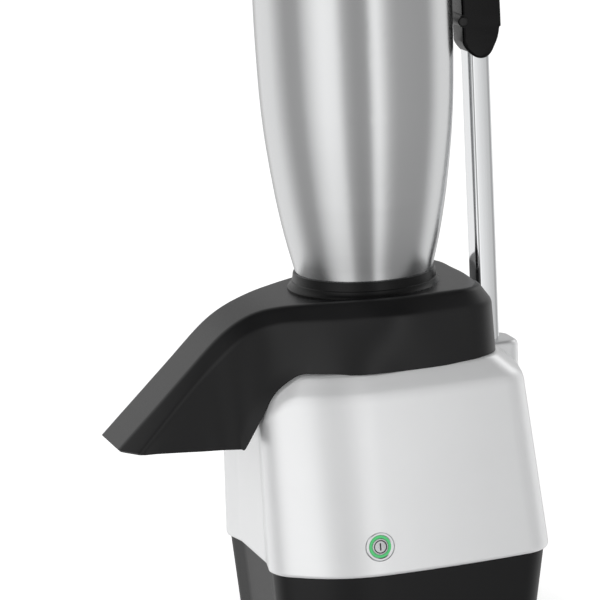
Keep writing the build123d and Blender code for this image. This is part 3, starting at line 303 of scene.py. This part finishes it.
class Mesh:
    def __init__(self):
        self.v, self.f = [], []

    def grid(self, rows, flip=False):
        """rows: list of equally long lists of points; faces between neighbouring rows."""
        base = len(self.v); n = len(rows[0])
        for r in rows:
            self.v += [tuple(p) for p in r]
        for i in range(len(rows) - 1):
            for j in range(n - 1):
                q = (base + i * n + j, base + i * n + j + 1, base + (i + 1) * n + j + 1, base + (i + 1) * n + j)
                self.f.append(q[::-1] if flip else q)

    def both(self, rows, flip=False):
        """The grid and its mirror across Y."""
        self.grid(rows, flip)
        self.grid([[(p[0], -p[1], p[2]) for p in r] for r in rows], not flip)

    def make(self, name, material, body="frame", merge=0.02, smooth=True, split=None, cut=None):
        me = bpy.data.meshes.new(name)
        me.from_pydata([(x / 1000 + AX, y / 1000, (z + DZ) / 1000) for x, y, z in self.v], [], self.f)
        bm = bmesh.new()
        bm.from_mesh(me)
        bmesh.ops.remove_doubles(bm, verts=bm.verts, dist=merge / 1000)
        if cut is not None:
            bmesh.ops.bisect_plane(bm, geom=bm.verts[:] + bm.edges[:] + bm.faces[:], plane_co=(0, 0, (cut + DZ) / 1000),
                                   plane_no=(0, 0, 1), clear_inner=True, dist=1e-7)
        bmesh.ops.dissolve_degenerate(bm, edges=bm.edges, dist=1e-6)
        bm.to_mesh(me)
        bm.free()
        for p in me.polygons:
            p.use_smooth = smooth
        me.update()
        o = bpy.data.objects.new(name, me)
        scene.collection.objects.link(o)
        me.materials.append(material)
        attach(o, body)
        if split:
            e = o.modifiers.new("split", "EDGE_SPLIT")
            e.split_angle = math.radians(split)
        return o


def lathe(profile, n=160, centre=(0.0, 0.0), close=False):
    """Rows of a ring swept round an upright axis; profile of (r, z) points, outward normals for rising z."""
    rows = []
    for r, z in profile:
        rows.append([(centre[0] + r * math.cos(2 * math.pi * k / n), centre[1] + r * math.sin(2 * math.pi * k / n), z)
                     for k in range(n + 1)])
    return rows


# ---------------------------------------------------------------- crusher body
RIBS = [
    (0.0, 69.0, 259.7, 82.0, 247.7, 85.5, 204.4), (-25.0, 63.0, 259.2, 74.5, 246.9, 87.0, 204.4),
    (-40.0, 57.0, 258.4, 68.5, 246.3, 84.0, 204.4), (-55.0, 50.5, 257.4, 62.0, 245.9, 77.5, 204.4),
    (-70.0, 43.5, 256.2, 55.0, 245.3, 69.5, 203.0), (-85.0, 36.5, 254.6, 48.0, 244.3, 64.5, 194.0),
    (-100.0, 30.5, 251.6, 42.3, 241.0, 61.5, 183.0), (-115.0, 28.0, 246.0, 40.0, 235.5, 63.5, 163.0),
    (-130.0, 27.3, 236.9, 39.3, 225.8, 67.0, 145.0), (-145.0, 26.8, 224.0, 38.8, 212.8, 63.5, 140.0),
    (-160.0, 26.6, 209.4, 39.5, 199.2, 60.5, 140.0), (-175.0, 26.8, 195.0, 41.0, 184.8, 57.0, 138.0),
    (-190.0, 27.0, 180.6, 43.0, 169.9, 54.0, 134.0), (-205.0, 27.0, 166.4, 45.0, 155.0, 51.0, 128.0),
    (-226.0, 27.0, 146.4, 47.6, 133.9, 50.0, 112.0)]
RIBS = [list(r) for r in reversed(RIBS)]
xs = [r[0] for r in RIBS]
side_slope = {r[0]: (r[5] - r[3]) / (r[4] - r[6]) for r in RIBS}
f_h = cspline(xs + [33.0, 62.0], [r[1] for r in RIBS] + [69.3, 67.2])
f_zt = cspline(xs + [33.0, 62.0], [r[2] for r in RIBS] + [259.7, 259.7])
f_ws = cspline(xs + [33.0, 62.0], [r[3] for r in RIBS] + [80.4, 76.4])
f_zs = cspline(xs + [33.0, 62.0], [r[4] for r in RIBS] + [247.7, 247.7])
f_sl = cspline(xs + [33.0, 62.0], [side_slope[x] for x in xs] + [0.064, 0.051])
CHIN = [(-107.0, 182.6), (-99.0, 192.6), (-90.0, 199.2), (-76.0, 204.4)]
f_ch = cspline([p[0] for p in CHIN], [p[1] for p in CHIN], 1.35, 0.0)


def z_low(x):
    if x >= -76.0:
        return 204.4
    if x >= -107.0:
        return float(f_ch(x)[0])
    if x >= -131.0:
        return 149.0 + (x + 131.0) / 24.0 * 33.6
    return 139.0


def body_rows():
    rows, ends = [], []
    xa = sorted(set(list(np.arange(-226.0, 62.01, 2.0)) + [-131.2, -131.0, -107.0, -76.0, -57.6, 0.0]))
    for x in xa:
        h, zt, ws, zs, sl = (float(f(x)[0]) for f in (f_h, f_zt, f_ws, f_zs, f_sl))
        zt = min(zt, 259.7)
        zl = min(z_low(x), zs - 3.0)
        p0 = np.array((x, -(ws + sl * (zs - zl)), zl))
        p1 = np.array((x, -ws, zs)); p2 = np.array((x, -h, zt))
        if x <= -57.6:
            p3 = np.array((x, 0.0, zt))
        elif x <= 0:
            p3 = np.array((x, -math.sqrt(57.6 ** 2 - x * x), zt))
        else:
            a = x / 62.0 * 0.85
            p3 = np.array((57.6 * math.sin(a), -57.6 * math.cos(a), zt))
        rows.append(rounded([p0, p1, p2, p3], [2.2, 2.2], [8, 3, 8]))
        ends.append(p0)
    # back end
    def level(w1, slope, cx, cy, xr, z):
        p = [(62.0, -w1), (cx - 6.0, -(cy + 7.5)), (cx, -cy), (cx + 0.75 * (xr - cx), -cy / 2), (xr, 0.0)]
        q = path(p, (1.0, slope), (0.0, 1.0), 44)
        return [np.array((x, y, z)) for x, y in q]
    eps = 0.01
    sl0 = float((f_ws(62.0)[0] - f_ws(62.0 - eps)[0]) / eps)
    sh0 = float((f_h(62.0)[0] - f_h(62.0 - eps)[0]) / eps)
    low = level(float(f_ws(62.0)[0] + f_sl(62.0)[0] * 43.3), -sl0, 88.0, 62.0, 94.6, 204.4)
    mid = level(76.4, -sl0, 86.6, 60.5, 93.2, 247.7)
    top = level(67.2, -sh0, 79.4, 55.0, 84.4, 259.7)
    for k in range(1, 44):
        a = 0.85 + (math.pi / 2 - 0.85) * k / 43
        p3 = np.array((57.6 * math.sin(a), -57.6 * math.cos(a), 259.7))
        rows.append(rounded([low[k], mid[k], top[k], p3], [2.2, 2.2], [8, 3, 8]))
    return rows, ends


rows, ends = body_rows()
m = Mesh()
m.both(rows, flip=False)
floor_rows = []
for p0 in ends:
    if -131.0 <= p0[0] <= -70.0:
        floor_rows.append([(p0[0], p0[1] * (1 - k / 8), p0[2]) for k in range(9)])
m.both(floor_rows, flip=True)
body = m.make("body_shell", M["body_black"], cut=149.0, merge=0.03)
so = body.modifiers.new("wall", "SOLIDIFY")
so.thickness = 0.003
so.offset = -1.0
so.use_even_offset = False
es = body.modifiers.new("split", "EDGE_SPLIT")
es.split_angle = math.radians(40)
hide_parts("crusher_body")


# ---------------------------------------------------------------- housing and base skirt
Z_BORDER, Z_CREASE, Z_SEAT = 44.0, 187.0, 203.6
X_NOSE, W_HALF, X_FLAT, X_WING = -25.0, 111.2, -104.8, -109.4
CORNER = path([(X_WING, 160.0), (-104.6, 178.0), (-96.0, 190.4), (-86.0, 198.3), (-74.0, Z_SEAT)], (0, 1), (1, 0), 300)


def corner_z(x):
    return float(np.interp(x, CORNER[:, 0], CORNER[:, 1]))


def arc3(a, b, c, n):
    """n + 1 points on the circle from a through b to c."""
    (ax, ay), (bx, by), (cx, cy) = a, b, c
    dd = 2 * (ax * (by - cy) + bx * (cy - ay) + cx * (ay - by))
    ux = ((ax * ax + ay * ay) * (by - cy) + (bx * bx + by * by) * (cy - ay) + (cx * cx + cy * cy) * (ay - by)) / dd
    uy = ((ax * ax + ay * ay) * (cx - bx) + (bx * bx + by * by) * (ax - cx) + (cx * cx + cy * cy) * (bx - ax)) / dd
    r = math.hypot(ax - ux, ay - uy)
    t0, t1 = math.atan2(ay - uy, ax - ux), math.atan2(cy - uy, cx - ux)
    if t1 < t0:
        t1 += 2 * math.pi
    return [(ux + r * math.cos(t0 + (t1 - t0) * k / n), uy + r * math.sin(t0 + (t1 - t0) * k / n)) for k in range(n + 1)]


FLAT = [(X_FLAT, -38.0 * k / 8) for k in range(8)]
FLAT += [(X_FLAT + (X_WING - X_FLAT) * k / 6, -38.0 - 24.0 * k / 6) for k in range(7)]
SIDE = [tuple(q) for q in path([(X_WING, -62.0), (-104.5, -76.0), (-92.5, -87.5), (-72.9, -100.2), (-51.0, -108.2),
                                (X_NOSE, -W_HALF)], (0.12, -1.0), (1.0, 0.0), 56)][:-1]
SIDE += arc3((X_NOSE, -W_HALF), (40.0, -108.6), (100.0, -101.8), 44)[:-1]
SIDE += [tuple(q) for q in path([(100.0, -101.8), (117.0, -92.0), (124.5, -72.0)], (0.989, 0.150), (0.24, 0.976), 26)][:-1]
SIDE += arc3((124.5, -72.0), (132.4, 0.0), (124.5, 72.0), 48)[:25]


def factors(z):
    if z <= Z_CREASE:
        t = (z - Z_BORDER) / (Z_CREASE - Z_BORDER)
        return 1 + t * (96.5 / W_HALF - 1), 1 + t * (143.4 / 157.4 - 1), 1.0
    t = (z - Z_CREASE) / (Z_SEAT - Z_CREASE)
    return (96.5 / W_HALF + t * (85.6 / W_HALF - 96.5 / W_HALF), 143.4 / 157.4 + t * (124.0 / 157.4 - 143.4 / 157.4),
            1.0 - 0.13 * t)


def at(x, y, z, k=None, inset=0.0):
    ky, kx, kl = k or factors(z)
    ky, kx, kl = ky - inset / W_HALF, kx - inset / 157.4, kl - inset / 84.4
    return np.array((X_NOSE + (x - X_NOSE) * (kx if x > X_NOSE else kl), y * ky, z))


flat_rows, side_rows = [], []
for x, y in FLAT:
    top = at(x, y, corner_z(x))
    flat_rows.append(rounded([at(x, y, Z_BORDER, inset=2.0), at(x, y, Z_BORDER), top], [0.8], [1, 12]))
for x, y in SIDE:
    if x >= -82.0:
        low, up = at(x, y, Z_CREASE), at(x, y, Z_SEAT)
    else:
        w = math.asin(min(1.0, (-82.0 - x) / 27.4))
        low = at(x, y, 160.0 + 27.0 * math.cos(w))
        xu = -74.6 - 34.8 * math.sin(w)
        g = math.cos(w)
        up = np.array((xu, low[1] * (1 - g) + y * factors(Z_SEAT)[0] * g, corner_z(xu)))
    inner = np.array((up[0], 0.0, up[2]))
    if up[0] < X_FLAT:
        inner[1] = (-62.0 + (up[0] - X_WING) / (X_FLAT - X_WING) * 24.0) * factors(up[2])[0]
    side_rows.append(rounded([at(x, y, Z_BORDER, inset=2.0), at(x, y, Z_BORDER), low, up, inner], [0.8, 5.0, 2.0],
                             [1, 12, 4, 8], arc=7))
m = Mesh()
m.both(flat_rows)
m.both(side_rows)
boss = []
for k in range(65):
    a = 2 * math.pi * k / 64
    c, s = math.cos(a), math.sin(a)
    px = 108.0 + math.copysign(10.5, c) + 8.0 * c
    py = math.copysign(9.0, s) + 8.0 * s
    boss.append(rounded([np.array((108.0, 0.0, 150.0)), np.array((px, py, 150.0)), np.array((px, py, 199.5)),
                         np.array((108.0, 0.0, 199.5))], [1.2, 1.8], [3, 6, 3]))
boss.append(boss[0])
m.grid(boss)
housing = m.make("housing_shell", M["housing_paint"], split=42)


def punch(obj, origin, axis, across, upward, radius, reach=0.022, depth=0.007, sides=48):
    """Round hole through the skin: cut along the sides of a polygon, then take out what is inside."""
    o, n, e1, e2 = (Vector(q) for q in (origin, axis, across, upward))
    bm = bmesh.new()
    bm.from_mesh(obj.data)

    def near(f):
        d = f.calc_center_median() - o
        return abs(d.dot(n)) < depth and any((v.co - o - (v.co - o).dot(n) * n).length < reach for v in f.verts)
    rim = [math.cos(2 * math.pi * k / sides) * e1 + math.sin(2 * math.pi * k / sides) * e2 for k in range(sides)]
    for d in rim:
        fs = [f for f in bm.faces if near(f)]
        es = {e for f in fs for e in f.edges}
        vs = {v for f in fs for v in f.verts}
        bmesh.ops.bisect_plane(bm, geom=list(vs) + list(es) + fs, plane_co=o + d * radius, plane_no=d, dist=1e-7)
    gone = [f for f in bm.faces if abs((f.calc_center_median() - o).dot(n)) < depth
            and all((f.calc_center_median() - o).dot(d) < radius - 1e-6 for d in rim)]
    bmesh.ops.delete(bm, geom=gone, context="FACES")
    bm.to_mesh(obj.data)
    bm.free()


def place(p):
    return (p[0] / 1000 + AX, p[1] / 1000, (p[2] + DZ) / 1000)


draft = math.atan((W_HALF - 96.5) / (Z_CREASE - Z_BORDER))
bn = np.array((0.0, -math.cos(draft), math.sin(draft)))
bu = np.array((0.0, math.sin(draft), math.cos(draft)))
bo = np.array((-31.0, -109.0, 65.7))
punch(housing, place(bo), tuple(bn), (1, 0, 0), tuple(bu), 0.01205)
punch(housing, place((62.0, 104.6, 66.0)), (0, 1, 0), (1, 0, 0), (0, 0, 1), 0.0111)
so = housing.modifiers.new("wall", "SOLIDIFY")
so.thickness = 0.003
so.offset = -1.0
housing.modifiers.move(len(housing.modifiers) - 1, 0)
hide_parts("main_housing")

skirt_rows = []
lo_k, hi_k = (0.927, 0.940, 0.940), (0.996, 0.996, 0.996)
for x, y in FLAT + SIDE:
    skirt_rows.append(rounded([at(x, y, 6.0 - DZ, lo_k, 3.0), at(x, y, 6.0 - DZ, lo_k), at(x, y, Z_BORDER - 0.2, hi_k),
                               at(x, y, Z_BORDER - 0.2, hi_k, 3.0)], [1.4, 0.7], [1, 8, 1]))
m = Mesh()
m.both(skirt_rows)
skirt = m.make("skirt_shell", M["skirt_plastic"], split=50)
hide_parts("base_skirt")

# ---------------------------------------------------------------- power symbol on the button
def on_button(u, v, h):
    return bo + np.array((u, 0.0, 0.0)) + bu * v + bn * h


sym = Mesh()
ring = []
for k in range(65):
    a = 2 * math.pi * k / 64
    q = lambda r, h: on_button(r * math.cos(a), r * math.sin(a), h)
    ring.append([q(4.65, 2.30), q(4.70, 2.50), q(5.60, 2.50), q(5.65, 2.30)])
sym.grid(ring)
bar = []
for k in range(33):
    a = 2 * math.pi * k / 32
    u, v = 0.6 * math.cos(a), math.copysign(2.6, math.sin(a)) + 0.6 * math.sin(a)
    bar.append([on_button(0, 0, 2.50), on_button(u * 0.92, v * 0.985, 2.50), on_button(u, v, 2.46), on_button(u, v, 2.30)])
bar.append(bar[0])
sym.grid(bar, flip=True)
symbol = sym.make("button_symbol", M["dark_screw"], body="button", merge=0.001, smooth=False)

# ---------------------------------------------------------------- camera
AZ, EL, ROLL = math.radians(-16.5), math.radians(12.4), math.radians(-2.68)
d = Vector((math.sin(AZ) * math.cos(EL), -math.cos(AZ) * math.cos(EL), math.sin(EL)))
right = (-d).cross(Vector((0, 0, 1))).normalized()
up = right.cross(-d).normalized()
r2 = math.cos(ROLL) * right + math.sin(ROLL) * up
u2 = -math.sin(ROLL) * right + math.cos(ROLL) * up
cam = bpy.data.cameras.new("camera")
cam.sensor_width = 36.0
cam.lens = 240.0
cam.clip_end = 100.0
co = bpy.data.objects.new("camera", cam)
scene.collection.objects.link(co)
target = Vector((AX - 0.05658, 0.0, 0.25294 + DZ / 1000))
rot = Matrix((r2, u2, d)).transposed().to_4x4()
co.matrix_world = Matrix.Translation(target + d * 3.316) @ rot
scene.camera = co

# ---------------------------------------------------------------- light and floor
scene.view_settings.view_transform = "Standard"
world = bpy.data.worlds.new("studio")
scene.world = world
world.use_nodes = True
wn = world.node_tree
bg = wn.nodes["Background"]


def wnode(kind, **kw):
    n = wn.nodes.new(kind)
    for k, v in kw.items():
        setattr(n, k, v)
    return n


def wmath(op, x, y=None):
    n = wnode("ShaderNodeMath", operation=op)
    for i, q in enumerate((x, y)):
        if q is None:
            continue
        if isinstance(q, (int, float)):
            n.inputs[i].default_value = q
        else:
            wn.links.new(q, n.inputs[i])
    return n.outputs[0]


def wramp(fac, stops):
    r = wnode("ShaderNodeValToRGB")
    e = r.color_ramp.elements
    while len(e) > 1:
        e.remove(e[-1])
    e[0].position, e[0].color = stops[0][0], (stops[0][1],) * 3 + (1,)
    for q, v in stops[1:]:
        n = e.new(q)
        n.color = (v, v, v, 1)
    wn.links.new(fac, r.inputs[0])
    return r.outputs[0]


# soft boxes and the gaps between them, as brightness against compass angle; 0 is straight in front
BANDS = [(-180, 0.60), (-174, 0.62), (-167, 0.95), (-138, 1.00), (-130, 0.95), (-115, 0.62), (-104, 0.44), (-86, 0.46),
         (-77, 0.80), (-66, 1.12), (-56, 1.28), (-40, 1.24), (-30, 0.56), (-20, 0.42), (-3, 0.40), (3, 1.20), (9, 1.34),
         (15, 1.00), (23, 0.62), (33, 0.48), (78, 0.42), (92, 0.80), (100, 0.92), (128, 0.88), (140, 0.60), (180, 0.60)]
tcw = wnode("ShaderNodeTexCoord")
sepw = wnode("ShaderNodeSeparateXYZ")
wn.links.new(tcw.outputs["Generated"], sepw.inputs[0])
turn = wmath("ARCTAN2", sepw.outputs["X"], wmath("MULTIPLY", sepw.outputs["Y"], -1.0))
fac = wmath("ADD", wmath("DIVIDE", turn, 2 * math.pi), 0.5)
level_w = wramp(fac, [((a + 180) / 360, v / 1.4) for a, v in BANDS])
rise = wramp(wmath("ADD", wmath("MULTIPLY", sepw.outputs["Z"], 0.5), 0.5),
             [(0.0, 0.20), (0.12, 0.45), (0.30, 1.0), (0.80, 1.0), (0.90, 0.60), (0.955, 0.12), (1.0, 0.08)])
mx = wnode("ShaderNodeMix", data_type="RGBA", blend_type="MULTIPLY")
mx.inputs["Factor"].default_value = 1.0
wn.links.new(level_w, mx.inputs["A"])
wn.links.new(rise, mx.inputs["B"])
wn.links.new(mx.outputs["Result"], bg.inputs[0])
bg.inputs["Strength"].default_value = 1.4



def area(name, azimuth, dist, z, size, power, look=(AX, 0.0, 0.2)):
    l = bpy.data.lights.new(name, "AREA")
    l.shape = "SQUARE"
    l.size = size
    l.energy = power
    o = bpy.data.objects.new(name, l)
    scene.collection.objects.link(o)
    a = math.radians(azimuth)
    loc = Vector((AX + math.sin(a) * dist, -math.cos(a) * dist, z))
    o.location = loc
    o.rotation_euler = (Vector(look) - loc).to_track_quat("-Z", "Y").to_euler()


area("over_right", 112, 1.9, 1.45, 0.8, 1.8)

bpy.ops.mesh.primitive_plane_add(size=40, location=(0, 0, 0))
floor = bpy.context.object
floor.name = "floor"
fm, nt, b = tree("floor_pale")
v = coords(nt)
nt.links.new(mixcol(nt, noise(nt, v, 3.0), (0.90, 0.90, 0.90), (0.93, 0.93, 0.93)), b.inputs["Base Color"])
b.inputs["Roughness"].default_value = 0.9
b.inputs["Specular IOR Level"].default_value = 0.1
b.inputs["Emission Color"].default_value = (1, 1, 1, 1)
b.inputs["Emission Strength"].default_value = 0.68
floor.data.materials.append(fm)
floor.visible_glossy = False
floor.visible_shadow = False
